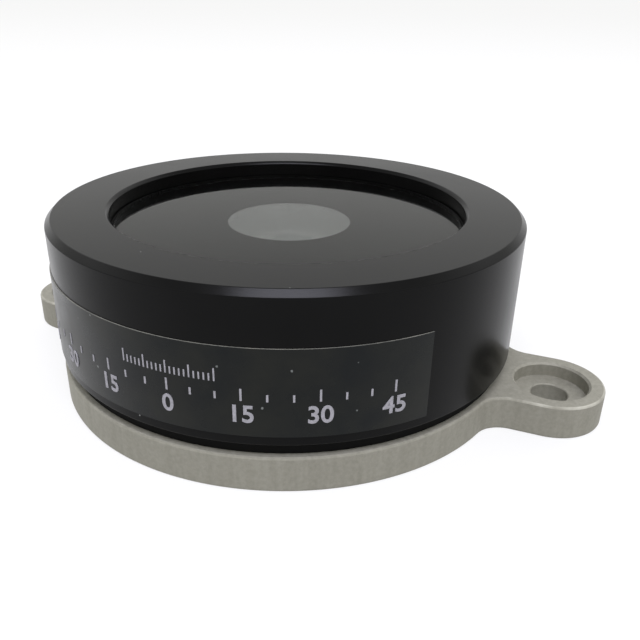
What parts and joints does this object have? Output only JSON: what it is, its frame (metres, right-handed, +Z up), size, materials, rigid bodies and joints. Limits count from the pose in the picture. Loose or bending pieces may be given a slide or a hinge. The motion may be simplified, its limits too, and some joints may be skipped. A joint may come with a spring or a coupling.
{
  "type": "sun sensor",
  "caption": "Round two-axis sun sensor: black housing with a masked glass window on a base plate with two mounting ears and a round threaded connector at the back.",
  "frame": {"origin": "centre of the base plate's flat underside, midway between the two mounting holes", "axes": "+X through the two ear holes, -Y to the label, +Y along the connector, +Z up along the optical axis"},
  "size_m": [0.0842, 0.0695, 0.0229],
  "materials": {
    "base_aluminium": "bead blasted, matt",
    "black_anodised": "turned and black anodised, satin",
    "black_rubber": "matt",
    "steel_screws": "satin stainless steel",
    "mask_black": "baked black ink",
    "window_glass": "polished",
    "filter_glass": "grey filter glass, ground",
    "white_board": "white solder resist",
    "green_board": "green solder resist",
    "ceramic": "fired alumina",
    "silicon": "polished silicon",
    "aperture_chrome": "dark chrome on glass",
    "brass": "turned",
    "chip_black": "moulded epoxy",
    "crystal_can": "drawn can",
    "capacitor_tan": "fired ceramic",
    "header_plastic": "moulded nylon",
    "wire_red": "PVC insulation",
    "nickel_brass": "nickel plated",
    "insert_black": "moulded nylon",
    "gold_pins": "gold plated",
    "label_film": "bare black polyester film"
  },
  "bodies": {
    "root": {"base_plate": "base_aluminium", "base_gasket": "black_rubber", "sensor_housing": "black_anodised", "base_screws": "steel_screws", "window_gasket": "black_rubber", "window_mask": "mask_black", "filter_disc": "filter_glass", "window_glass": "window_glass", "window_bead": "black_rubber", "sensor_board": "white_board", "sensor_package": "ceramic", "photodiodes": "silicon", "aperture_cover": "aperture_chrome", "board_screws": "steel_screws", "board_spacers": "brass", "main_board": "green_board", "board_standoffs": "brass", "processor": "chip_black", "transceiver": "chip_black", "amplifier": "chip_black", "voltage_regulator": "chip_black", "crystal": "crystal_can", "surge_diodes": "chip_black", "capacitors": "capacitor_tan", "resistors": "chip_black", "board_link": "header_plastic", "wire_header": "header_plastic", "connector_wires": "wire_red", "connector_shell": "nickel_brass", "connector_insert": "insert_black", "connector_pins": "gold_pins", "connector_seal": "black_rubber", "label": "label_film"}
  },
  "joints": []
}
